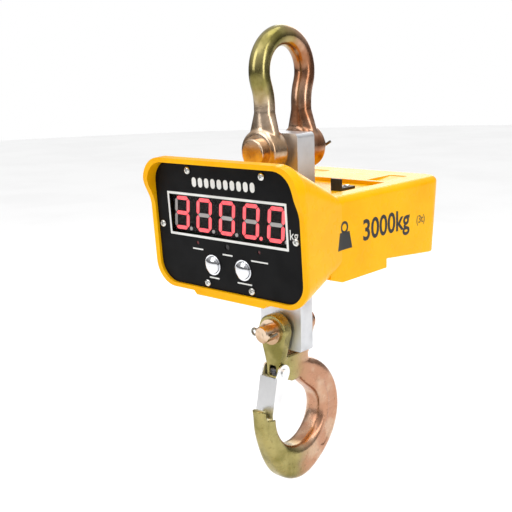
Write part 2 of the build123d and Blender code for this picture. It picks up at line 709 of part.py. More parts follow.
def display_window():
    wide = WINDOW_WIDE + 4
    tall = WINDOW_TALL + 4
    return panel_slab(wide, tall, 0, 0, -PANEL_THICK - WINDOW_THICK, -PANEL_THICK)


def digit_front():
    return -PANEL_THICK - WINDOW_THICK - FIT_GAP


def digit(number):
    x = (number - (DIGITS - 1) / 2) * DIGIT_PITCH
    front = digit_front()
    return panel_slab(DIGIT_WIDTH, DIGIT_TALL, x, 0, front - DIGIT_DEEP, front)


def board_face():
    return digit_front() - DIGIT_DEEP


def main_board():
    face = board_face()
    return panel_slab(BOARD_WIDE, BOARD_TALL, 0, BOARD_MIDDLE, face - BOARD_THICK, face)


def board_standoffs():
    face = board_face()
    reach_x = BOARD_WIDE / 2 - 5
    reach_s = BOARD_TALL / 2 - 6
    places = [(x, BOARD_MIDDLE + s) for x in (-reach_x, reach_x) for s in (-reach_s, reach_s)]
    return group(panel_rod(5.0, x, s, face, -PANEL_THICK) for x, s in places)


def board_chips():
    back = board_face() - BOARD_THICK
    sizes = (
        (-30, 5, 22, 10, 3), (5, 8, 14, 14, 3), (38, 0, 12, 18, 5),
        (52, -28, 18, 9, 8), (-10, -32, 10, 10, 6),
    )
    return group(
        panel_slab(wide, tall, x, BOARD_MIDDLE + s, back - deep, back) for x, s, wide, tall, deep in sizes)


def cable_plug(x, s):
    back = board_face() - BOARD_THICK
    return panel_slab(12.0, 8.0, x, s, back - PLUG_DEEP, back)


def status_lamps():
    face = board_face()
    return group(panel_rod(LAMP_DIA, x, LAMP_HEIGHT, face, -0.6) for x in LAMP_X)


def receiver_lens():
    return panel_rod(RECEIVER_DIA, 0, LAMP_HEIGHT, board_face(), -0.8)


def button_bezel(side):
    x = side * BUTTON_X
    body = panel_rod(BEZEL_BODY_DIA, x, BUTTON_HEIGHT, -BEZEL_DEEP, 0)
    flange = panel_rod(BEZEL_DIA, x, BUTTON_HEIGHT, 0, BEZEL_PROUD)
    bore = panel_rod(BUTTON_DIA + 2 * BUTTON_PLAY, x, BUTTON_HEIGHT, -BEZEL_DEEP - 1, BEZEL_PROUD + 1)
    return body + flange - bore


def button_cap(side):
    # A domed cap on a narrow stem, turned in one piece.
    edge = BUTTON_DIA / 2
    rise = 2.0
    dome = (edge ** 2 + rise ** 2) / (2 * rise)
    half_x = edge / 2
    half_z = BUTTON_PROUD - dome + math.sqrt(dome ** 2 - half_x ** 2)
    outline = [
        Line((0, -BEZEL_DEEP - 1), (BUTTON_STEM / 2, -BEZEL_DEEP - 1)),
        Line((BUTTON_STEM / 2, -BEZEL_DEEP - 1), (BUTTON_STEM / 2, -4)),
        Line((BUTTON_STEM / 2, -4), (edge, -4)),
        Line((edge, -4), (edge, BUTTON_PROUD - rise)),
        ThreePointArc((edge, BUTTON_PROUD - rise), (half_x, half_z), (0, BUTTON_PROUD)),
        Line((0, BUTTON_PROUD), (0, -BEZEL_DEEP - 1)),
    ]
    cap = revolve(Plane.XZ * make_face(outline), axis=Axis.Z)
    return PANEL * Pos(side * BUTTON_X, BUTTON_HEIGHT, 0) * cap


def button_switches():
    face = board_face()
    stem_end = -BEZEL_DEEP - 1
    top = stem_end - BUTTON_TRAVEL - 0.1
    bodies = []
    for side in (-1, 1):
        x = side * BUTTON_X
        bodies.append(panel_slab(6.2, 6.2, x, BUTTON_HEIGHT, face, top))
    return group(bodies)


# ---- Wiring --------------------------------------------------------------

def panel_point(x, s, depth):
    place = PANEL * Pos(x, s, depth)
    return tuple(place.position)


def wire(points, dia, radii):
    path = FilletPolyline(*points, radius=radii)
    start = Plane(origin=path @ 0, z_dir=path % 0)
    return sweep(start * Circle(dia / 2), path=path)


def load_cell_cable():
    waist_top, waist_bottom = waist_ends()
    z = (waist_top + waist_bottom) / 2
    x_from = -CELL_WIDTH / 2 - GAUGE_COVER_THICK
    y = CELL_FRONT + CELL_LOWER_DEEP / 2
    end = panel_point(CABLE_PLUG[0], CABLE_PLUG[1], board_face() - BOARD_THICK - PLUG_DEEP)
    points = [(x_from, y, z), (CABLE_PLUG[0], y, z), (CABLE_PLUG[0], (y + end[1]) / 2, end[2]), end]
    return wire(points, CABLE_DIA, [9.0, 30.0])


def battery_loom():
    y = BATTERY_Y - BATTERY[1] / 2
    z = battery_floor() + BATTERY[2] - 12
    end = panel_point(LOOM_PLUG[0], LOOM_PLUG[1], board_face() - BOARD_THICK - PLUG_DEEP)
    points = [(LOOM_X, y, z), (LOOM_X, y - 22, z), (LOOM_PLUG[0], y - 55, end[2]), end]
    return wire(points, CABLE_DIA, [20.0, 20.0])


# ---- Hook ----------------------------------------------------------------

def hook_section(angle, inner, outer, thick):
    turn = math.radians(angle)
    radius = (inner + outer) / 2
    out = (0, math.cos(turn), math.sin(turn))
    along = (0, math.sin(turn), -math.cos(turn))
    centre = (0, BOWL_Y + radius * out[1], BOWL_Z + radius * out[2])
    plane = Plane(origin=centre, x_dir=out, z_dir=along)
    return plane * RectangleRounded(outer - inner, thick, min(thick, outer - inner) * 0.34)


def hook_bowl():
    # Angle from the rear round the bowl, inner radius, outer radius, thickness.
    stations = (
        (98, 36.5, 54, 2 * NECK_HALF), (74, 31, 55.5, 18), (52, 28, 56.5, 22), (30, 29, 58, HOOK_THICK - 1),
        (8, 30.5, 59.5, HOOK_THICK), (-15, BOWL_RADIUS, 61, HOOK_THICK), (-38, BOWL_RADIUS, 61.5, HOOK_THICK),
        (-64, BOWL_RADIUS, 63, HOOK_THICK), (-90, BOWL_RADIUS, 66, HOOK_THICK),
        (-112, BOWL_RADIUS, 62.5, HOOK_THICK - 1), (-136, BOWL_RADIUS, 54, HOOK_THICK - 4),
        (-160, BOWL_RADIUS, 50.5, 18), (-182, BOWL_RADIUS, 52.5, 14),
        (-200, BOWL_RADIUS + 1, 58.5, NOSE_THICK),
    )
    return loft([hook_section(*station) for station in stations])


def fork():
    low_side = [
        (FORK_FRONT, HOOK_PIN_Z - 6), (FORK_JAW_FRONT, HOOK_PIN_Z - 6), (FORK_JAW_FRONT, SADDLE_Z),
        (FORK_JAW_REAR, SADDLE_Z), (FORK_JAW_REAR, HOOK_PIN_Z - 6), (FORK_REAR, HOOK_PIN_Z - 6),
        (FORK_REAR, SADDLE_Z - 10), (10.0, SADDLE_Z - 26), (-6.0, SADDLE_Z - 27), (-18.0, LATCH_Z - 9),
        (FORK_FRONT, LATCH_Z - 5),
    ]
    base = side_slab(low_side, NECK_HALF)
    for y_from, y_to in ((FORK_FRONT, FORK_JAW_FRONT), (FORK_JAW_REAR, FORK_REAR)):
        base += rod_y(FORK_EAR_DIA, y_from, y_to, 0, HOOK_PIN_Z)
        cheek = FORK_EAR_DIA * 0.47
        web = [
            (-cheek, HOOK_PIN_Z - 5), (cheek, HOOK_PIN_Z - 5),
            (NECK_HALF, SADDLE_Z - 5), (-NECK_HALF, SADDLE_Z - 5),
        ]
        base += front_slab(web, y_from, y_to)
    return base


def hook_forging():
    hook = hook_bowl() + fork()
    hook -= block(-HOOK_THICK, HOOK_THICK, NOSE_BACK_Y, BOWL_Y - 10, LEDGE_Z, NOSE_TOP_Z + 8)
    hook -= block(-HOOK_THICK, HOOK_THICK, NOSE_BACK_Y - 40, BOWL_Y - 10, NOSE_TOP_Z, NOSE_TOP_Z + 20)
    sweep = rod_x(2 * LATCH_SWEEP, -HOOK_THICK, HOOK_THICK, LATCH_Y, LATCH_Z)
    hook -= sweep & block(-HOOK_THICK, HOOK_THICK, NOSE_BACK_Y, BOWL_Y - 10, LEDGE_Z - 10, LEDGE_Z + 1)
    hook -= rod_y(HOOK_PIN_DIA, FORK_FRONT - 5, FORK_REAR + 5, 0, HOOK_PIN_Z)
    hook -= rod_x(RIVET_DIA, -20, 20, LATCH_Y, LATCH_Z)
    slot = SPRING_WIDE / 2 + 0.5
    return hook - block(-slot, slot, FORK_FRONT - 5, LATCH_Y + 6, LATCH_Z - 14, LATCH_Z + 6.5)


def hook_pin():
    head_from = FORK_REAR + WASHER_THICK
    shank = rod_y(HOOK_PIN_DIA, HOOK_PIN_FRONT, head_from, 0, HOOK_PIN_Z)
    shank = chamfer(shank.edges().group_by(Axis.Y)[0], 1.2)
    head = rod_y(HOOK_PIN_HEAD, head_from, head_from + 4.5, 0, HOOK_PIN_Z)
    return shank + head - rod_x(COTTER_WIRE + 0.6, -20, 20, HOOK_PIN_FRONT + 5, HOOK_PIN_Z)


def hook_pin_washers():
    washers = []
    for y in (FORK_FRONT - WASHER_THICK, FORK_REAR):
        ring = rod_y(HOOK_PIN_HEAD + 2, y, y + WASHER_THICK, 0, HOOK_PIN_Z)
        washers.append(ring - rod_y(HOOK_PIN_DIA, y - 1, y + WASHER_THICK + 1, 0, HOOK_PIN_Z))
    return group(washers)


def latch_rivet():
    half = LATCH_WIDE / 2 + 0.2
    rivet = rod_x(RIVET_DIA, -half, half, LATCH_Y, LATCH_Z)
    for side in (-1, 1):
        lo, hi = sorted((side * half, side * (half + 1.4)))
        rivet += rod_x(RIVET_DIA + 3, lo, hi, LATCH_Y, LATCH_Z)
    return rivet


def at_latch(points):
    # Points given from the latch's pivot.
    return [(LATCH_Y + y, LATCH_Z + z) for y, z in points]


def latch_plate():
    # A sheet channel: front plate, two side flanges and their pivot ears.
    flange = at_latch([
        (-10.3, -2.9), (-17.8, -36.6), (-17.5, -41.0), (-12.3, -41.7),
        (-6.6, -28.6), (6.2, -5.1), (0, 6), (-6.8, 3.9),
    ])
    sides = side_slab(flange, LATCH_WIDE / 2) + rod_x(
        2 * LATCH_EAR_RADIUS, -LATCH_WIDE / 2, LATCH_WIDE / 2, LATCH_Y, LATCH_Z)
    inside = LATCH_WIDE / 2 - LATCH_SHEET
    web_back = at_latch([(-8.5, -1.6), (-16.6, -38.6), (-16.6, -47.6), (20, -47.6), (20, 12.4), (-8.5, 12.4)])
    top_open = block(-inside, inside, LATCH_Y - 25, LATCH_Y + 20, LATCH_Z - 2.9, LATCH_Z + 12.4)
    latch = sides - side_slab(web_back, inside) - top_open
    return latch - rod_x(RIVET_DIA + 2 * PIN_PLAY, -20, 20, LATCH_Y, LATCH_Z)


def latch_spring():
    coil = rod_x(SPRING_DIA, -SPRING_WIDE / 2, SPRING_WIDE / 2, LATCH_Y, LATCH_Z)
    coil -= rod_x(RIVET_DIA + 0.8, -SPRING_WIDE, SPRING_WIDE, LATCH_Y, LATCH_Z)
    leg = Pos(0, LATCH_Y - 6.8, LATCH_Z - 12.5) * Rot(-20, 0, 0) * Cylinder(0.6, 21)
    return coil + leg


# ---- Everything ----------------------------------------------------------

pieces = {
    "shackle_bow": shackle_bow(),
    "shackle_pin": shackle_pin(),
    "shackle_nut": shackle_nut(),
    "shackle_cotter": cotter(
        JAW / 2 + EAR_THICK + NUT_THICK + COTTER_PAST_NUT, SHACKLE_PIN_Z, SHACKLE_PIN_DIA / 2 + 2),
    "load_cell": load_cell(),
    "left_gauge_cover": gauge_cover(-1),
    "right_gauge_cover": gauge_cover(1),
    "gauge_cover_screws": gauge_cover_screws(),
    "housing_shell": housing_shell(),
    "top_collar": top_collar(),
    "bottom_collar": bottom_collar(),
    "top_cover": top_cover(),
    "top_cover_screws": top_cover_screws(),
    "tie_bracket": tie_bracket(),
    "tie_bracket_screws": tie_bracket_screws(),
    "left_cell_bracket": cell_bracket(-1),
    "right_cell_bracket": cell_bracket(1),
    "cell_bracket_bolts": cell_bracket_bolts(),
    "battery_door": battery_door(),
    "battery_door_screws": battery_door_screws(),
    "battery": battery(),
    "battery_pad": battery_pad(),
    "battery_strap": battery_strap(),
    "battery_strap_screws": battery_strap_screws(),
    "charging_socket": charging_socket(),
    "charge_lead": charge_lead(),
    "display_panel": display_panel(),
    "panel_gasket": panel_gasket(),
    "panel_screws": panel_screws(),
    "display_window": display_window(),
    "main_board": main_board(),
    "board_standoffs": board_standoffs(),
    "board_chips": board_chips(),
    "cable_plug": cable_plug(*CABLE_PLUG),
    "loom_plug": cable_plug(*LOOM_PLUG),
    "status_lamps": status_lamps(),
    "receiver_lens": receiver_lens(),
    "left_button_bezel": button_bezel(-1),
    "right_button_bezel": button_bezel(1),
    "left_button": button_cap(-1),
    "right_button": button_cap(1),
    "button_switches": button_switches(),
    "load_cell_cable": load_cell_cable(),
    "battery_loom": battery_loom(),
    "hook_forging": hook_forging(),
    "hook_pin": hook_pin(),
    "hook_pin_washers": hook_pin_washers(),
    "hook_pin_cotter": cotter(HOOK_PIN_FRONT + 5, HOOK_PIN_Z, HOOK_PIN_DIA / 2 + 2),
    "latch_rivet": latch_rivet(),
    "latch_plate": latch_plate(),
    "latch_spring": latch_spring(),
}
for number in range(DIGITS):
    pieces[f"digit_{number + 1}"] = digit(number)
for name, shape in pieces.items():
    write(shape, name)
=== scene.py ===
import json
import math

import bmesh
import bpy
from mathutils import Matrix, Vector
from mathutils.bvhtree import BVHTree


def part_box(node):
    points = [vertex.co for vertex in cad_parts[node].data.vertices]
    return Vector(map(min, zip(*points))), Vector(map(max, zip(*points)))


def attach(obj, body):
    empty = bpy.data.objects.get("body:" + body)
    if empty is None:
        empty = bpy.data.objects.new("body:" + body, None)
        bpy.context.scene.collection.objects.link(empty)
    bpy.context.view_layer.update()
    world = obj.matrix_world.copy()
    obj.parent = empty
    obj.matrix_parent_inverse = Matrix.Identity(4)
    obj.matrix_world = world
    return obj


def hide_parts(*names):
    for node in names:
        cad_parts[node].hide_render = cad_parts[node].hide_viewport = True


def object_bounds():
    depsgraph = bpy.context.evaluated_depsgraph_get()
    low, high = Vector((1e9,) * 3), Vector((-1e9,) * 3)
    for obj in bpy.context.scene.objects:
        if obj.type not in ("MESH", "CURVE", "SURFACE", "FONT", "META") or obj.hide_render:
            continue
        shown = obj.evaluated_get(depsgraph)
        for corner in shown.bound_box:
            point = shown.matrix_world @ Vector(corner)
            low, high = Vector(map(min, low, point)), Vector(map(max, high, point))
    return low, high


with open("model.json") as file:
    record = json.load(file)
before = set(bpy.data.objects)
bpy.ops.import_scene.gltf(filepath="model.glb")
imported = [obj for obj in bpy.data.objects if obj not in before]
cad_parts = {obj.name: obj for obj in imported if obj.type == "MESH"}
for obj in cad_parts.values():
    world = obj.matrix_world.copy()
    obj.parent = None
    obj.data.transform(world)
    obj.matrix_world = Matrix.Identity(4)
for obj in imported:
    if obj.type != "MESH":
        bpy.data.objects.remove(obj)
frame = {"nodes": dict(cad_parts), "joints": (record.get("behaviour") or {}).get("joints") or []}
cad_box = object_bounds()

MM = 0.001
RIGHT = Vector((1, 0, 0))
UP = Vector((0, 0, 1))


# ---- Where things are ----------------------------------------------------

def middle(node):
    low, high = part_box(node)
    return (low + high) / 2


def joint_named(name):
    return next(joint for joint in frame["joints"] if joint["name"] == name)


# The panel's own directions: out of its face, and up along it.
PANEL_OUT = -Vector(joint_named("left_button_press")["axis"])
PANEL_UP = PANEL_OUT.cross(RIGHT)
PANEL_THICK = 2.0 * MM
WINDOW_THICK = 1.6 * MM
DIGIT_DEEP = 9.0 * MM
WINDOW_MIDDLE = middle("display_window") + PANEL_OUT * (WINDOW_THICK / 2 + PANEL_THICK)


def on_panel(x, s, depth=0.0):
    """A point x right of the window's middle, s above it and depth out of the panel, in millimetres."""
    return WINDOW_MIDDLE + (RIGHT * x + PANEL_UP * s + PANEL_OUT * depth) * MM


def loose_solids(node):
    """The corner points of each separate solid in a node."""
    mesh = bmesh.new()
    mesh.from_mesh(frame["nodes"][node].data)
    bmesh.ops.remove_doubles(mesh, verts=mesh.verts, dist=1e-6)
    left = set(mesh.verts)
    solids = []
    while left:
        reached = [left.pop()]
        points = []
        while reached:
            vert = reached.pop()
            points.append(vert.co.copy())
            for edge in vert.link_edges:
                other = edge.other_vert(vert)
                if other in left:
                    left.remove(other)
                    reached.append(other)
        solids.append(points)
    mesh.free()
    return sorted(solids, key=lambda points: min(tuple(point) for point in points))


# ---- Shader trees --------------------------------------------------------

class Value:
    """A value in a material's tree. Sums and products of values add their Math nodes."""

    def __init__(self, tree, socket):
        self.tree = tree
        self.socket = socket

    def _math(self, operation, first, second):
        node = self.tree.nodes.new("ShaderNodeMath")
        node.operation = operation
        for place, value in enumerate((first, second)):
            plug(self.tree, node.inputs[place], value)
        return Value(self.tree, node.outputs[0])

    def __add__(self, other):
        return self._math("ADD", self, other)

    def __radd__(self, other):
        return self._math("ADD", other, self)

    def __sub__(self, other):
        return self._math("SUBTRACT", self, other)

    def __rsub__(self, other):
        return self._math("SUBTRACT", other, self)

    def __mul__(self, other):
        return self._math("MULTIPLY", self, other)

    def __rmul__(self, other):
        return self._math("MULTIPLY", other, self)


def plug(tree, socket, value):
    if isinstance(value, Value):
        tree.links.new(value.socket, socket)
    else:
        socket.default_value = value


class Finish:
    """A material while it is being mixed."""

    def __init__(self, name):
        self.material = bpy.data.materials.new(name)
        self.material.use_nodes = True
        self.tree = self.material.node_tree
        self.tree.nodes.clear()

    def add(self, kind, settings=None, inputs=None, output=0):
        node = self.tree.nodes.new("ShaderNode" + kind)
        for name, setting in (settings or {}).items():
            setattr(node, name, setting)
        for name, value in (inputs or {}).items():
            plug(self.tree, node.inputs[name], value)
        return Value(self.tree, node.outputs[output]) if node.outputs else None

    def place(self, stretch=(1, 1, 1)):
        where = self.add("TexCoord", output="Object")
        return self.add("Mapping", inputs={"Vector": where, "Scale": stretch})

    def noise(self, size, detail=2.0, rough=0.5, stretch=(1, 1, 1)):
        """Blotches about size millimetres across, from 0 to 1."""
        return self.add("TexNoise", inputs={
            "Vector": self.place(stretch), "Scale": 1 / (size * MM), "Detail": detail, "Roughness": rough})

    def pits(self, size):
        """Distance to the nearest of many points about size millimetres apart."""
        return self.add("TexVoronoi", {"feature": "F1"}, {"Vector": self.place(), "Scale": 1 / (size * MM)})

    def step(self, value, low, high, at_low=0.0, at_high=1.0):
        return self.add("MapRange", {"interpolation_type": "SMOOTHSTEP", "clamp": True}, {
            "Value": value, "From Min": low, "From Max": high, "To Min": at_low, "To Max": at_high})

    def along(self, axis):
        return self.add("SeparateXYZ", inputs={"Vector": self.place()}, output=axis)

    def mix(self, share, first, second):
        """first where share is 0, second where it is 1, as colours."""
        return self.add("Mix", {"data_type": "RGBA"}, {0: share, 6: first, 7: second}, output=2)

    def bump(self, height, strength, deep):
        return self.add("Bump", inputs={"Height": height, "Strength": strength, "Distance": deep * MM})

    def done(self, base, rough, metal=0.0, normal=None, **fixed):
        inputs = {"Base Color": base, "Roughness": rough, "Metallic": metal}
        if normal is not None:
            inputs["Normal"] = normal
        inputs.update({name.replace("_", " "): value for name, value in fixed.items()})
        shader = self.add("BsdfPrincipled", inputs=inputs)
        self.add("OutputMaterial", inputs={"Surface": shader})
        return self.material


def screen_colour(red, green, blue):
    """A colour given as it looks on a screen, 0 to 255, as the shader's linear one."""
    def linear(level):
        level /= 255
        return level / 12.92 if level <= 0.04045 else ((level + 0.055) / 1.055) ** 2.4
    return (linear(red), linear(green), linear(blue), 1.0)


# ---- Finishes ------------------------------------------------------------

def yellow_enamel():
    finish = Finish("yellow enamel")
    patches = finish.noise(45, 3)
    specks = finish.noise(3.5, 2)
    share = finish.step(patches + specks * 0.3, 0.45, 0.95)
    base = finish.mix(share, screen_colour(253, 186, 4), screen_colour(247, 174, 2))
    rough = 0.2 + finish.noise(14, 3) * 0.16
    skin = finish.noise(2.2, 3) * 0.7 + finish.noise(9, 2)
    return finish.done(
        base, rough, normal=finish.bump(skin, 0.16, 0.25),
        Specular_IOR_Level=0.1, Coat_Weight=0.03, Coat_Roughness=0.12)


def chromate_forging(name, grain, highlight_below, highlight_share, rear_deep, rear_pale):
    """Yellow-passivated steel: olive in front, rear_deep and rear_pale mixed at the rear.

    The front turns to beige, a painted highlight, below the given height in metres, by the given share.
    """
    finish = Finish(name)
    clouds = finish.noise(26, 3)
    olive = finish.mix(
        finish.step(clouds, 0.35, 0.65), screen_colour(172, 160, 104), screen_colour(124, 116, 62))
    # painted highlight: the pale beige stands for the pinkish sheen of light on the front legs
    beige_highlight = finish.mix(
        finish.step(clouds, 0.4, 0.6), screen_colour(232, 206, 182), screen_colour(196, 160, 128))
    copper = finish.mix(finish.step(finish.noise(18, 2), 0.4, 0.62), rear_deep, rear_pale)
    height = finish.along("Z") + (clouds - 0.5) * 0.02
    # share of the painted highlight on the front, growing below the given height
    highlit_legs = finish.step(height, highlight_below, highlight_below - 0.03) * highlight_share
    front = finish.mix(highlit_legs, olive, beige_highlight)
    depth = finish.along("Y") + (clouds - 0.5) * 0.03
    base = finish.mix(finish.step(depth, -0.012, 0.022), front, copper)
    stains = finish.step(finish.noise(4, 5), 0.56, 0.76)
    base = finish.mix(stains * 0.4, base, screen_colour(84, 74, 44))
    rough = 0.13 + finish.noise(8, 3) * 0.16 + grain * 0.05
    skin = finish.noise(1.1, 4) * grain + finish.noise(7, 2) * 1.2
    return finish.done(base, rough, 1.0, finish.bump(skin, 0.25, 0.3))


def plated(name, colour, shade, rough, brush=(1, 1, 1), size=6.0, deep=0.05, strength=0.15):
    """Plated or bare metal with a brushed or rolled skin and a few duller patches."""
    finish = Finish(name)
    strokes = finish.noise(size * 0.2, 3, stretch=brush)
    patches = finish.noise(size * 4, 3)
    base = finish.mix(finish.step(patches, 0.35, 0.75), colour, shade)
    dull = rough + finish.step(patches, 0.4, 0.8) * rough * 0.5 + strokes * rough * 0.4
    return finish.done(base, dull, 1.0, finish.bump(strokes, strength, deep))


def plain_coat(name, colour, shade, rough, size=4.0, deep=0.06, strength=0.25, **fixed):
    """Paint, rubber or moulded plastic: a fine skin, and a shade that drifts a little."""
    finish = Finish(name)
    drift = finish.noise(size * 6, 3)
    skin = finish.noise(size * 0.12, 2)
    base = finish.mix(finish.step(drift, 0.35, 0.7), colour, shade)
    dull = rough + (drift - 0.5) * 0.12 + skin * 0.06
    return finish.done(base, dull, 0.0, finish.bump(skin, strength, deep), **fixed)


def lit_segment():
    finish = Finish("lit segment")
    glow = finish.noise(5, 1)
    colour = finish.mix(glow, screen_colour(255, 74, 84), screen_colour(255, 112, 118))
    return finish.done(colour, 0.4, Emission_Color=colour, Emission_Strength=0.9)


def clear_window():
    finish = Finish("clear window")
    smear = finish.noise(18, 3)
    return finish.done(
        screen_colour(30, 16, 18), 0.04 + smear * 0.05,
        Alpha=finish.step(smear, 0.2, 0.8, 0.05, 0.1), IOR=1.45)


def board_green():
    finish = Finish("green board")
    tracks = finish.step(finish.pits(5.0), 0.35, 0.4)
    base = finish.mix(tracks, screen_colour(22, 96, 60), screen_colour(14, 74, 44))
    return finish.done(base, 0.32 + finish.noise(3) * 0.1, 0.0, finish.bump(tracks, 0.2, 0.05))


def wound_sheath():
    return plain_coat("cable sheath", screen_colour(40, 40, 42), screen_colour(28, 28, 30), 0.5, 2.0)


tone = screen_colour          # a shorter name, for the table of finishes
FINISHES = {
    "passivated_steel": chromate_forging(
        "chromate steel", 0.3, -0.03, 0.9, tone(156, 106, 76), tone(196, 154, 126)),
    "zinc_wire": plated("zinc wire", tone(150, 146, 134), tone(110, 106, 96), 0.3, (1, 1, 1), 3.0),
    "cell_metal": plated("plated cell", tone(226, 227, 230), tone(208, 210, 214), 0.36, (1, 1, 0.06), 6.0),
    "zinc_screw": plated("bright screw", tone(226, 226, 222), tone(190, 188, 180), 0.2, (1, 1, 1), 2.0),
    "yellow_paint": yellow_enamel(),
    "black_rubber": plain_coat("black rubber", tone(32, 32, 33), tone(22, 22, 23), 0.62),
    "black_steel": plain_coat("black coated steel", tone(34, 34, 36), tone(24, 24, 26), 0.38),
    "battery_case": plain_coat("battery case", tone(62, 62, 66), tone(50, 50, 53), 0.5),
    "foam": plain_coat("closed foam", tone(70, 70, 70), tone(54, 54, 54), 0.85, 9.0, 0.4, 0.5),
    "zinc_sheet": plated("zinc sheet", tone(248, 248, 248), tone(234, 234, 235), 0.24, (1, 1, 0.1), 5.0),
    "black_plastic": plain_coat("black plastic", tone(34, 34, 35), tone(26, 26, 27), 0.42),
    "white_plastic": plain_coat("white plastic", tone(226, 224, 216), tone(212, 209, 200), 0.4),
    "cable_sheath": wound_sheath(),
    "black_panel": plain_coat(
        "black panel", tone(20, 20, 21), tone(14, 14, 15), 0.42, 3.0, 0.03, 0.2, Specular_IOR_Level=0.08),
    "display_filter": clear_window(),
    "circuit_board": board_green(),
    "brass_post": plated("turned brass", tone(214, 182, 104), tone(180, 148, 80), 0.25, (1, 1, 8), 3.0),
    "red_lamp": plain_coat("red lamp", tone(120, 20, 24), tone(84, 10, 14), 0.2, IOR=1.5),
    "dark_lens": plain_coat("dark lens", tone(20, 12, 18), tone(12, 8, 12), 0.15, IOR=1.5),
    "bright_steel": plated(
        "bright steel", tone(240, 241, 244), tone(222, 223, 226), 0.07, (1, 1, 1), 9.0, 0.01, 0.05),
    "spring_steel": plated("spring steel", tone(120, 120, 124), tone(90, 90, 94), 0.28, (1, 1, 1), 2.0),
    "digit_block": plain_coat(
        "digit block", tone(20, 19, 19), tone(14, 13, 13), 0.34, Specular_IOR_Level=0.1),
}
WHITE_INK = plain_coat("white ink", tone(236, 236, 232), tone(222, 222, 218), 0.5)
BLACK_INK = plain_coat("black ink", tone(22, 21, 20), tone(30, 28, 26), 0.45)
DIM_SEGMENT = plain_coat("dim segment", tone(206, 202, 200), tone(190, 184, 182), 0.35)
LIT_SEGMENT = lit_segment()
HOOK_SKIN = chromate_forging("chromate hook", 1.0, -0.5, 0.0, tone(190, 142, 114), tone(206, 172, 146))


def dress_nodes():
    for node in frame["nodes"].values():
        slot = node.material_slots[0].material.name.split(".")[0]
        for place in node.material_slots:
            place.material = FINISHES[slot]


# ---- Making pieces -------------------------------------------------------

def piece(name, mesh, body, material, replaced=(), smooth=35.0):
    """Puts a finished mesh in the scene, riding on a body."""
    made = bpy.data.objects.new(name, mesh)
    bpy.context.scene.collection.objects.link(made)
    mesh.materials.clear()
    mesh.materials.append(material)
    mesh.shade_smooth()
    mesh.set_sharp_from_angle(angle=math.radians(smooth))
    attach(made, body)
    if replaced:
        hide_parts(*replaced)
    return made


def from_bmesh(work, name):
    bmesh.ops.recalc_face_normals(work, faces=work.faces)
    mesh = bpy.data.meshes.new(name)
    work.to_mesh(mesh)
    work.free()
    return mesh


def settled(helper):
    """The finished mesh of a helper object, which is then taken away."""
    graph = bpy.context.evaluated_depsgraph_get()
    result = bpy.data.meshes.new_from_object(helper.evaluated_get(graph))
    bpy.data.objects.remove(helper)
    return result


def modified(mesh, *modifiers):
    """The mesh after these modifiers, each given as a kind and its settings."""
    helper = bpy.data.objects.new("helper", mesh)
    bpy.context.scene.collection.objects.link(helper)
    for kind, settings in modifiers:
        modifier = helper.modifiers.new(kind, kind)
        for name, value in settings.items():
            setattr(modifier, name, value)
    return settled(helper)


def merged_copy(node):
    work = bmesh.new()
    work.from_mesh(frame["nodes"][node].data)
    bmesh.ops.remove_doubles(work, verts=work.verts, dist=1e-6)
    mesh = bpy.data.meshes.new(node)
    work.to_mesh(mesh)
    work.free()
    return mesh


def forged(node, voxel, rounds):
    """A copy of a node with its corners rounded off all over, as a forging has them."""
    return modified(
        merged_copy(node),
        ("REMESH", {"mode": "VOXEL", "voxel_size": voxel * MM}),
        ("SMOOTH", {"factor": 0.5, "iterations": rounds}),
    )


def prism(work, outline, place, thick):
    """Adds a flat plate to work. The outline is in millimetres, and place(x, s, depth) puts it in space."""
    low = [work.verts.new(place(x, s, 0.0)) for x, s in outline]
    high = [work.verts.new(place(x, s, thick)) for x, s in outline]
    count = len(outline)
    work.faces.new(low[::-1])
    work.faces.new(high)
    for i in range(count):
        j = (i + 1) % count
        work.faces.new((low[i], low[j], high[j], high[i]))


def round_bar(x_from, x_to, s_from, s_to, corner):
    """The outline of an upright or lying bar with rounded corners."""
    points = []
    corners = ((x_to - corner, s_to - corner, 0), (x_from + corner, s_to - corner, 90),
               (x_from + corner, s_from + corner, 180), (x_to - corner, s_from + corner, 270))
    for x, s, start in corners:
        for turn in (0, 30, 60, 90):
            angle = math.radians(start + turn)
            points.append((x + corner * math.cos(angle), s + corner * math.sin(angle)))
    return points


def circle(radius):
    """The corners of a circle about 0, 0."""
    angles = [math.radians(angle) for angle in range(0, 360, 20)]
    return [(radius * math.cos(angle), radius * math.sin(angle)) for angle in angles]


# ---- Screws --------------------------------------------------------------

CROWN = 0.335                 # height of a screw head that is 1 across


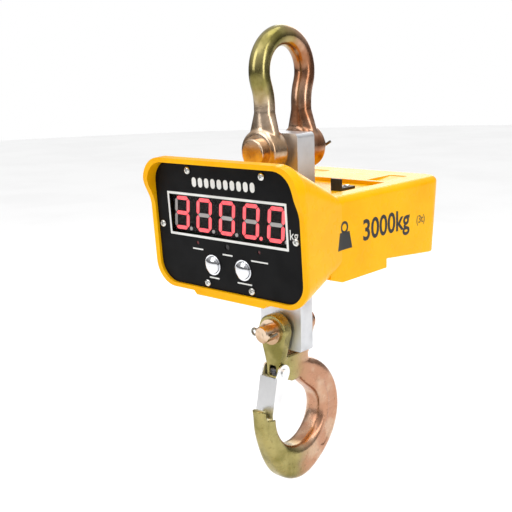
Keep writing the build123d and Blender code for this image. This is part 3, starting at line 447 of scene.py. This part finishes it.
def screw_head_mesh():
    """A pan head 1 across on its seat at height 0, with a short shank below and a cross cut in it."""
    rings = ((0.24, -0.6), (0.5, 0.0), (0.5, 0.12), (0.475, 0.2), (0.41, 0.27), (0.3, 0.315), (0.16, CROWN))
    sides = 40
    work = bmesh.new()
    loops = []
    for radius, height in rings:
        loops.append([work.verts.new((
            radius * math.cos(2 * math.pi * i / sides), radius * math.sin(2 * math.pi * i / sides), height))
            for i in range(sides)])
    for low, high in zip(loops, loops[1:]):
        for i in range(sides):
            j = (i + 1) % sides
            work.faces.new((low[i], low[j], high[j], high[i]))
    work.faces.new(loops[0][::-1])
    work.faces.new(loops[-1])
    head = from_bmesh(work, "screw head")
    cutter = bmesh.new()
    for half_long, half_wide in ((0.27, 0.055), (0.055, 0.27)):
        corners = []
        for height, grow in ((0.1, 0.55), (0.5, 1.15)):
            for x, y in ((-1, -1), (1, -1), (1, 1), (-1, 1)):
                corners.append(cutter.verts.new((x * half_long * grow, y * half_wide * grow, height)))
        for face in ((3, 2, 1, 0), (4, 5, 6, 7), (0, 1, 5, 4), (1, 2, 6, 5), (2, 3, 7, 6), (3, 0, 4, 7)):
            cutter.faces.new([corners[i] for i in face])
    tool = bpy.data.objects.new("screw cross", from_bmesh(cutter, "screw cross"))
    bpy.context.scene.collection.objects.link(tool)
    cut = modified(head, ("BOOLEAN", {
        "object": tool, "operation": "DIFFERENCE", "solver": "EXACT", "use_self": True}))
    bpy.data.objects.remove(tool)
    return cut


def screw_tree():
    """Sets one screw on each point, standing along the point's aim and turned at random."""
    tree = bpy.data.node_groups.new("screws on points", "GeometryNodeTree")
    sockets = tree.interface
    sockets.new_socket("Points", in_out="INPUT", socket_type="NodeSocketGeometry")
    sockets.new_socket("Screw", in_out="INPUT", socket_type="NodeSocketObject")
    sockets.new_socket("Head across", in_out="INPUT", socket_type="NodeSocketFloat")
    sockets.new_socket("Head tall", in_out="INPUT", socket_type="NodeSocketFloat")
    sockets.new_socket("Metal", in_out="INPUT", socket_type="NodeSocketMaterial")
    sockets.new_socket("Seed", in_out="INPUT", socket_type="NodeSocketInt")
    sockets.new_socket("Screws", in_out="OUTPUT", socket_type="NodeSocketGeometry")
    nodes, links = tree.nodes, tree.links
    given = nodes.new("NodeGroupInput")
    result = nodes.new("NodeGroupOutput")
    screw = nodes.new("GeometryNodeObjectInfo")
    aim = nodes.new("GeometryNodeInputNamedAttribute")
    aim.data_type = "FLOAT_VECTOR"
    aim.inputs["Name"].default_value = "aim"
    stand = nodes.new("FunctionNodeAlignRotationToVector")
    stand.axis = "Z"
    chance = nodes.new("FunctionNodeRandomValue")
    chance.data_type = "FLOAT"
    chance.inputs[2].default_value = 0.0
    chance.inputs[3].default_value = math.pi
    spin = nodes.new("ShaderNodeCombineXYZ")
    turn = nodes.new("FunctionNodeRotateRotation")
    turn.rotation_space = "LOCAL"
    size = nodes.new("ShaderNodeCombineXYZ")
    spread = nodes.new("GeometryNodeInstanceOnPoints")
    real = nodes.new("GeometryNodeRealizeInstances")
    coat = nodes.new("GeometryNodeSetMaterial")
    links.new(given.outputs["Screw"], screw.inputs["Object"])
    links.new(aim.outputs["Attribute"], stand.inputs["Vector"])
    links.new(given.outputs["Seed"], chance.inputs["Seed"])
    links.new(chance.outputs[1], spin.inputs["Z"])
    links.new(stand.outputs["Rotation"], turn.inputs["Rotation"])
    links.new(spin.outputs["Vector"], turn.inputs["Rotate By"])
    for side in ("X", "Y"):
        links.new(given.outputs["Head across"], size.inputs[side])
    links.new(given.outputs["Head tall"], size.inputs["Z"])
    links.new(given.outputs["Points"], spread.inputs["Points"])
    links.new(screw.outputs["Geometry"], spread.inputs["Instance"])
    links.new(turn.outputs["Rotation"], spread.inputs["Rotation"])
    links.new(size.outputs["Vector"], spread.inputs["Scale"])
    links.new(spread.outputs["Instances"], real.inputs["Geometry"])
    links.new(real.outputs["Geometry"], coat.inputs["Geometry"])
    links.new(given.outputs["Metal"], coat.inputs["Material"])
    links.new(coat.outputs["Geometry"], result.inputs["Screws"])
    return tree


def set_input(modifier, name, value):
    sockets = modifier.node_group.interface.items_tree
    socket = next(s for s in sockets if s.name == name and s.in_out == "INPUT")
    modifier[socket.identifier] = value


LEVEL_SLACK = 0.05 * MM       # points this close in height count as one face


def screw_seats(node, out):
    """The middle of the outer end of each screw in a node, where out is the way the heads face."""
    seats = []
    for points in loose_solids(node):
        far = max(p.dot(out) for p in points)
        face = [p for p in points if far - p.dot(out) < LEVEL_SLACK]
        seats.append(sum(face, Vector()) / len(face))
    return seats


def screws(name, body, tree, screw, across, tall, seats, seed, replaced):
    """One piece of screws. Each seat is the outer end of a head and the direction it faces."""
    mesh = bpy.data.meshes.new(name)
    mesh.from_pydata([tuple(end - aim * tall * MM) for end, aim in seats], [], [])
    stored = mesh.attributes.new("aim", "FLOAT_VECTOR", "POINT")
    stored.data.foreach_set("vector", [value for end, aim in seats for value in aim])
    helper = bpy.data.objects.new("helper", mesh)
    bpy.context.scene.collection.objects.link(helper)
    modifier = helper.modifiers.new("Screws", "NODES")
    modifier.node_group = tree
    set_input(modifier, "Screw", screw)
    set_input(modifier, "Head across", across * MM)
    set_input(modifier, "Head tall", tall * MM / CROWN)
    set_input(modifier, "Metal", FINISHES["zinc_screw"])
    set_input(modifier, "Seed", seed)
    piece(name, settled(helper), body, FINISHES["zinc_screw"], replaced, 30.0)


# Each piece of screws, its heads' width and height in millimetres, its node and the way it faces.
SCREW_ROWS = (
    ("panel_cross_screws", 6.7, 2.0, "panel_screws", PANEL_OUT),
    ("cover_cross_screws", 6.0, 1.6, "top_cover_screws", UP),
    ("tie_cross_screws", 5.0, 1.4, "tie_bracket_screws", UP),
    ("door_cross_screws", 5.0, 1.4, "battery_door_screws", -UP),
)
FIRST_SEED = 3


def all_screws():
    tree = screw_tree()
    shape = bpy.data.objects.new("cross screw", screw_head_mesh())
    bpy.context.scene.collection.objects.link(shape)
    for seed, (name, across, tall, node, out) in enumerate(SCREW_ROWS, FIRST_SEED):
        seats = [(end, out) for end in screw_seats(node, out)]
        screws(name, "scale_body", tree, shape, across, tall, seats, seed, (node,))
    bpy.data.objects.remove(shape)


# ---- Display -------------------------------------------------------------

SLANT = math.tan(math.radians(7.0))
DIGIT_HALF_WIDE = 7.6         # middle of the upright segments
DIGIT_HALF_TALL = 13.6        # middle of the top and bottom segments
SEGMENT_WIDE = 3.4
SEGMENT_GAP = 0.5
SEGMENTS_ON = {"3": "abcdg", "0": "abcdef"}
SHOWN = "30000"
POINT_LIT = 3
SEGMENT_THICK = 0.22
SEGMENT_LIFT = 0.02           # of the segments off the digit block's face
DIGIT_SHIFT = -1.2            # the digit's middle, left of its block's, to leave room for the point
POINT_RIGHT = 11.9
POINT_RADIUS = 1.7
WINDOW_HALF_WIDE = 70.0
WINDOW_HALF_TALL = 19.75
WINDOW_LINE = 2.2
INK = 0.06                    # thickness of a printed mark


def segment_outline(name):
    """The six-cornered outline of one segment, unslanted, about the digit's middle."""
    wide, tall, half = DIGIT_HALF_WIDE, DIGIT_HALF_TALL, SEGMENT_WIDE / 2
    upper, lower = (0.0, tall), (-tall, 0.0)
    uprights = {"b": (wide, upper), "c": (wide, lower), "e": (-wide, lower), "f": (-wide, upper)}
    if name in uprights:
        x, (s_from, s_to) = uprights[name]
        s_from += SEGMENT_GAP
        s_to -= SEGMENT_GAP
        return [(x, s_from), (x + half, s_from + half), (x + half, s_to - half),
                (x, s_to), (x - half, s_to - half), (x - half, s_from + half)]
    s = {"a": tall, "g": 0.0, "d": -tall}[name]
    x_to = wide - SEGMENT_GAP
    return [(-x_to, s), (-x_to + half, s - half), (x_to - half, s - half),
            (x_to, s), (x_to - half, s + half), (-x_to + half, s + half)]


def digit_segments():
    """The lit and the dark segments and points of all the digits, as two pieces."""
    works = {True: bmesh.new(), False: bmesh.new()}
    for number, shown in enumerate(SHOWN):
        face = middle(f"digit_{number + 1}") + PANEL_OUT * DIGIT_DEEP / 2

        def place(x, s, depth, face=face):
            lean = x + s * SLANT + DIGIT_SHIFT
            return face + (RIGHT * lean + PANEL_UP * s + PANEL_OUT * (depth + SEGMENT_LIFT)) * MM

        for name in "abcdefg":
            prism(works[name in SEGMENTS_ON[shown]], segment_outline(name), place, SEGMENT_THICK)
        point = [(POINT_RIGHT + x, s - DIGIT_HALF_TALL) for x, s in circle(POINT_RADIUS)]
        prism(works[number == POINT_LIT], point, place, SEGMENT_THICK)
    for lit, name, material in ((True, "lit_segments", LIT_SEGMENT), (False, "dim_segments", DIM_SEGMENT)):
        piece(name, from_bmesh(works[lit], name), "scale_body", material)


def window_frame():
    """The printed line round the display window."""
    work = bmesh.new()
    wide, tall = WINDOW_HALF_WIDE, WINDOW_HALF_TALL
    outer = round_bar(-wide, wide, -tall, tall, 0.6)
    wide, tall = wide - WINDOW_LINE, tall - WINDOW_LINE
    inner = round_bar(-wide, wide, -tall, tall, 0.2)
    rings = []
    for outline, depth in ((outer, 0.0), (outer, INK), (inner, INK), (inner, 0.0)):
        rings.append([work.verts.new(on_panel(x, s, depth)) for x, s in outline])
    count = len(outer)
    for first, second in zip(rings, rings[1:] + rings[:1]):
        for i in range(count):
            j = (i + 1) % count
            work.faces.new((first[i], first[j], second[j], second[i]))
    mesh = from_bmesh(work, "window_frame_print")
    piece("window_frame_print", mesh, "scale_body", WHITE_INK)


NUMERAL_TALL = 0.71           # of the built-in letters, for a size of 1


def letters(text, tall, bold=0.0, wide=1.0):
    """Plain numerals or letters as a flat mesh in millimetres, centred, with numerals tall high."""
    curve = bpy.data.curves.new(text, "FONT")
    curve.body = text
    curve.size = 1.0
    curve.offset = bold
    curve.resolution_u = 4
    helper = bpy.data.objects.new("helper", curve)
    bpy.context.scene.collection.objects.link(helper)
    mesh = settled(helper)
    points = [vert.co for vert in mesh.vertices]
    low = Vector([min(p[i] for p in points) for i in range(3)])
    high = Vector([max(p[i] for p in points) for i in range(3)])
    scale = tall / NUMERAL_TALL
    centre = (low + high) / 2
    mesh.transform(Matrix.Diagonal((scale * wide, scale, 1, 1)) @ Matrix.Translation(-centre))
    return mesh


# Middle, width and height of each plain bar, in millimetres on the panel.
TITLE_BARS = tuple((-34.2 + 7.6 * i, 30.0, 5.2, 8.6) for i in range(10))
CAPTION_LINES = (
    (-36.0, -30.2, 13.0, 1.3), (0.0, -31.6, 12.0, 1.3), (36.8, -33.0, 19.0, 1.3),
    (-18.1, -54.6, 12.0, 1.3), (18.1, -54.8, 17.0, 1.3),
)
PANEL_MARKS = TITLE_BARS + CAPTION_LINES
UNIT_RIGHT, UNIT_UP = 76.2, -7.0
UNIT_TALL = 8.6
UNIT_WIDE = 0.85              # of the letters' own width


def printed_on_panel():
    """The unit mark, and the plain bars that stand for the title and the captions."""
    work = bmesh.new()
    for x, s, wide, tall in PANEL_MARKS:
        bar = round_bar(x - wide / 2, x + wide / 2, s - tall / 2, s + tall / 2, tall * 0.3)
        prism(work, bar, on_panel, INK)
    piece("panel_marks", from_bmesh(work, "panel_marks"), "scale_body", WHITE_INK)
    unit = letters("kg", UNIT_TALL, wide=UNIT_WIDE)
    unit = modified(unit, ("SOLIDIFY", {"thickness": INK, "offset": 1.0}))
    for vert in unit.vertices:
        vert.co = on_panel(UNIT_RIGHT + vert.co.x, UNIT_UP + vert.co.y, vert.co.z)
    piece("unit_print", unit, "scale_body", WHITE_INK)


# Each word's text, numeral height, boldness, and its middle along and up the flank.
SIDE_WORDS = (("3000kg", 18.4, 0.02, 46.5, -162.0), ("(3t)", 7.4, 0.01, 103.0, -164.0))
WEIGHT_MIDDLE = (-18.0, -161.5)
WEIGHT_CORNERS = ((-11, -9.5), (11, -9.5), (7.2, 5.5), (-7.2, 5.5))
RING_RADII = (3.2, 5.4)       # of the ring on the weight
RING_UP = 9.6
FLARE_FOOT_Y = -21.5          # where the straight flank turns into the flared front
PRINT_START = 0.2             # metres out to the side, clear of the flanks


def side_print():
    """Capacity numerals and a plain weight on both flanks of the housing, laid on its surface."""
    shell = frame["nodes"]["housing_shell"].data
    faces = [polygon.vertices[:] for polygon in shell.polygons]
    surface = BVHTree.FromPolygons([vert.co for vert in shell.vertices], faces)
    for side, name in ((1, "right_capacity_print"), (-1, "left_capacity_print")):
        work = bmesh.new()
        for text, tall, bold, middle_y, middle_z in SIDE_WORDS:
            word = letters(text, tall, bold)
            word.transform(Matrix.Translation((side * middle_y, middle_z, 0)))
            work.from_mesh(word)
        across, up = WEIGHT_MIDDLE
        work.faces.new([work.verts.new((side * across + x, up + z, 0)) for x, z in WEIGHT_CORNERS])
        rings = []
        for radius in RING_RADII:
            rings.append([
                work.verts.new((side * across + x, up + RING_UP + z, 0)) for x, z in circle(radius)])
        inner, outer = rings
        for i in range(len(inner)):
            j = (i + 1) % len(inner)
            work.faces.new((inner[i], inner[j], outer[j], outer[i]))
        bmesh.ops.bisect_plane(
            work, geom=work.verts[:] + work.edges[:] + work.faces[:],
            plane_co=(side * FLARE_FOOT_Y, 0, 0), plane_no=(1, 0, 0), dist=1e-5)
        bmesh.ops.triangulate(work, faces=work.faces)
        for vert in work.verts:
            start = Vector((side * PRINT_START, side * vert.co.x * MM, vert.co.y * MM))
            hit = surface.ray_cast(start, Vector((-side, 0, 0)))[0]
            vert.co = hit + Vector((side * INK * MM * 0.5, 0, 0))
        bmesh.ops.recalc_face_normals(work, faces=work.faces)
        for face in work.faces:
            if face.normal.x * side < 0:
                face.normal_flip()
        mesh = bpy.data.meshes.new(name)
        work.to_mesh(mesh)
        work.free()
        mesh = modified(mesh, ("SOLIDIFY", {"thickness": INK * MM, "offset": 1.0}))
        piece(name, mesh, "scale_body", BLACK_INK)


# ---- Forgings and spring -------------------------------------------------

def shackle_forging():
    piece("shackle_forging", forged("shackle_bow", 0.9, 6), "shackle",
          FINISHES["passivated_steel"], ("shackle_bow",), 60.0)


BOWL_MIDDLE = Vector((0, 4.5, -346.4)) * MM
PAD_RADIUS = 46.0 * MM
PAD_FROM, PAD_TO = math.radians(-50), math.radians(30)
PAD_HALF_WIDE = 6.5 * MM
PAD_DEEP = 0.9 * MM
PAD_EDGE = 1.4 * MM           # width of the pad's sloped edge
FLANK = 0.5                   # how squarely a face has to look sideways to be part of the flank


def pad_depth(point):
    """How far a point on the hook's flank is pressed in, inside the long oval pad round its back."""
    out = point - BOWL_MIDDLE
    angle = math.atan2(out.z, out.y)
    nearest = min(max(angle, PAD_FROM), PAD_TO)
    centre = Vector((out.x, math.cos(nearest) * PAD_RADIUS, math.sin(nearest) * PAD_RADIUS))
    away = (out - centre).length
    share = min(max((PAD_HALF_WIDE - away) / PAD_EDGE, 0.0), 1.0)
    return PAD_DEEP * share * share * (3 - 2 * share)


def smooth_hook():
    mesh = forged("hook_forging", 1.05, 8)
    for vert in mesh.vertices:
        if abs(vert.normal.x) > FLANK:
            vert.co.x -= math.copysign(pad_depth(vert.co), vert.co.x)
    piece("hook_body", mesh, "hook", HOOK_SKIN, ("hook_forging",), 60.0)


COIL_RADIUS = 4.0
COIL_WIRE = 0.6               # half the wire's thickness
COIL_TURNS = 5
COIL_HALF_WIDE = 3.0
COIL_LEG = ((8.0, -5.6), (16.0, -8.4), (21.0, -10.2))    # down from the rivet, and along Y


def latch_coil():
    """A wound spring on the latch's rivet, with one leg down behind the plate."""
    low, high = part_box("latch_rivet")
    axis = (low + high) / 2
    points = []
    steps = 16 * COIL_TURNS
    for i in range(steps + 1):
        angle = 2 * math.pi * COIL_TURNS * i / steps - math.pi / 2
        across = -COIL_HALF_WIDE + 2 * COIL_HALF_WIDE * i / steps
        turn = Vector((across, COIL_RADIUS * math.cos(angle), COIL_RADIUS * math.sin(angle)))
        points.append(axis + turn * MM)
    for drop, along in COIL_LEG:
        points.append(axis + Vector((COIL_HALF_WIDE, along, -drop)) * MM)
    curve = bpy.data.curves.new("latch coil", "CURVE")
    curve.dimensions = "3D"
    curve.bevel_depth = COIL_WIRE * MM
    curve.bevel_resolution = 3
    curve.use_fill_caps = True
    spline = curve.splines.new("POLY")
    spline.points.add(len(points) - 1)
    for place, point in zip(spline.points, points):
        place.co = (*point, 1.0)
    helper = bpy.data.objects.new("helper", curve)
    bpy.context.scene.collection.objects.link(helper)
    mesh = settled(helper)
    piece("latch_coil", mesh, "latch", FINISHES["spring_steel"], ("latch_spring",))


# ---- Studio --------------------------------------------------------------

CAMERA_PLACE = Vector((0.5182, -0.6111, -0.0115))
CAMERA_AZIMUTH = 42.34
CAMERA_ELEVATION = 12.52
CAMERA_ROLL = -1.75
CAMERA_LENS = 62.0
CAMERA_SENSOR = 36.0
FLOOR_DROP = 0.12
FLOOR_RADIUS = 6.0
# Name, place, width, height and power of each soft light.
LIGHTS = (
    ("key", (-0.7, -1.6, 0.8), 0.9, 1.5, 9),
    ("side", (1.8, -0.1, 0.5), 0.5, 1.7, 9),
    ("top", (0.2, 0.5, 1.8), 1.2, 1.0, 7),
    ("rear", (-0.8, 1.5, 0.4), 0.8, 1.4, 7),
)


def aim_axes():
    """Right, up and back of the camera, before it is rolled."""
    azimuth, elevation = math.radians(CAMERA_AZIMUTH), math.radians(CAMERA_ELEVATION)
    level = math.cos(elevation)
    back = Vector((math.sin(azimuth) * level, -math.cos(azimuth) * level, math.sin(elevation)))
    right = Vector((math.cos(azimuth), math.sin(azimuth), 0))
    return right, back.cross(right), back


def camera():
    right, up, back = aim_axes()
    roll = math.radians(CAMERA_ROLL)
    side = right * math.cos(roll) + up * math.sin(roll)
    top = up * math.cos(roll) - right * math.sin(roll)
    data = bpy.data.cameras.new("camera")
    data.lens = CAMERA_LENS
    data.sensor_width = CAMERA_SENSOR
    made = bpy.data.objects.new("camera", data)
    bpy.context.scene.collection.objects.link(made)
    turned = Matrix((side, top, back)).transposed().to_4x4()
    made.matrix_world = Matrix.Translation(CAMERA_PLACE) @ turned
    bpy.context.scene.camera = made


def soft_light(name, place, target, width, height, power):
    data = bpy.data.lights.new(name, "AREA")
    data.shape = "RECTANGLE"
    data.size = width
    data.size_y = height
    data.energy = power
    made = bpy.data.objects.new(name, data)
    bpy.context.scene.collection.objects.link(made)
    made.location = place
    made.rotation_mode = "QUATERNION"
    made.rotation_quaternion = (Vector(target) - Vector(place)).to_track_quat("-Z", "Y")


def studio():
    low, high = cad_box
    centre = (low + high) / 2
    floor = bmesh.new()
    bmesh.ops.create_circle(floor, cap_ends=True, segments=96, radius=FLOOR_RADIUS)
    mesh = from_bmesh(floor, "floor")
    mesh.transform(Matrix.Translation((centre.x, centre.y, low.z - FLOOR_DROP)))
    ground = bpy.data.objects.new("floor", mesh)
    bpy.context.scene.collection.objects.link(ground)
    pale = plain_coat("pale floor", tone(246, 246, 246), tone(242, 242, 242), 0.8, 60.0, 0.01, 0.05)
    mesh.materials.append(pale)
    for name, place, width, height, power in LIGHTS:
        soft_light(name, place, centre, width, height, power)
    sky = bpy.data.lights.new("sky", "SUN")
    sky.energy = 1.0
    sky.angle = math.radians(70)
    overhead = bpy.data.objects.new("sky", sky)
    bpy.context.scene.collection.objects.link(overhead)
    overhead.rotation_euler = (math.radians(12), math.radians(8), 0)
    world = bpy.data.worlds.new("studio")
    bpy.context.scene.world = world
    world.use_nodes = True
    tree = world.node_tree
    tree.nodes.clear()
    where = tree.nodes.new("ShaderNodeTexCoord")
    split = tree.nodes.new("ShaderNodeSeparateXYZ")
    ramp = tree.nodes.new("ShaderNodeValToRGB")
    seen = tree.nodes.new("ShaderNodeBackground")
    around = tree.nodes.new("ShaderNodeBackground")
    path = tree.nodes.new("ShaderNodeLightPath")
    join = tree.nodes.new("ShaderNodeMixShader")
    out = tree.nodes.new("ShaderNodeOutputWorld")
    stops = ramp.color_ramp.elements
    stops[0].position, stops[0].color = 0.46, (0.04, 0.04, 0.045, 1)
    stops[1].position, stops[1].color = 0.8, (1, 1, 1, 1)
    tree.links.new(where.outputs["Generated"], split.inputs["Vector"])
    lift = tree.nodes.new("ShaderNodeMapRange")
    lift.inputs["From Min"].default_value = -1.0
    tree.links.new(split.outputs["Z"], lift.inputs["Value"])
    tree.links.new(lift.outputs["Result"], ramp.inputs["Fac"])
    tree.links.new(ramp.outputs["Color"], around.inputs["Color"])
    around.inputs["Strength"].default_value = 0.8
    seen.inputs["Color"].default_value = (1, 1, 1, 1)
    seen.inputs["Strength"].default_value = 1.0
    tree.links.new(path.outputs["Is Camera Ray"], join.inputs["Fac"])
    tree.links.new(around.outputs["Background"], join.inputs[1])
    tree.links.new(seen.outputs["Background"], join.inputs[2])
    tree.links.new(join.outputs["Shader"], out.inputs["Surface"])
    bpy.context.scene.view_settings.view_transform = "Standard"


# ---- Everything ----------------------------------------------------------

dress_nodes()
all_screws()
digit_segments()
window_frame()
printed_on_panel()
side_print()
shackle_forging()
smooth_hook()
latch_coil()
camera()
studio()
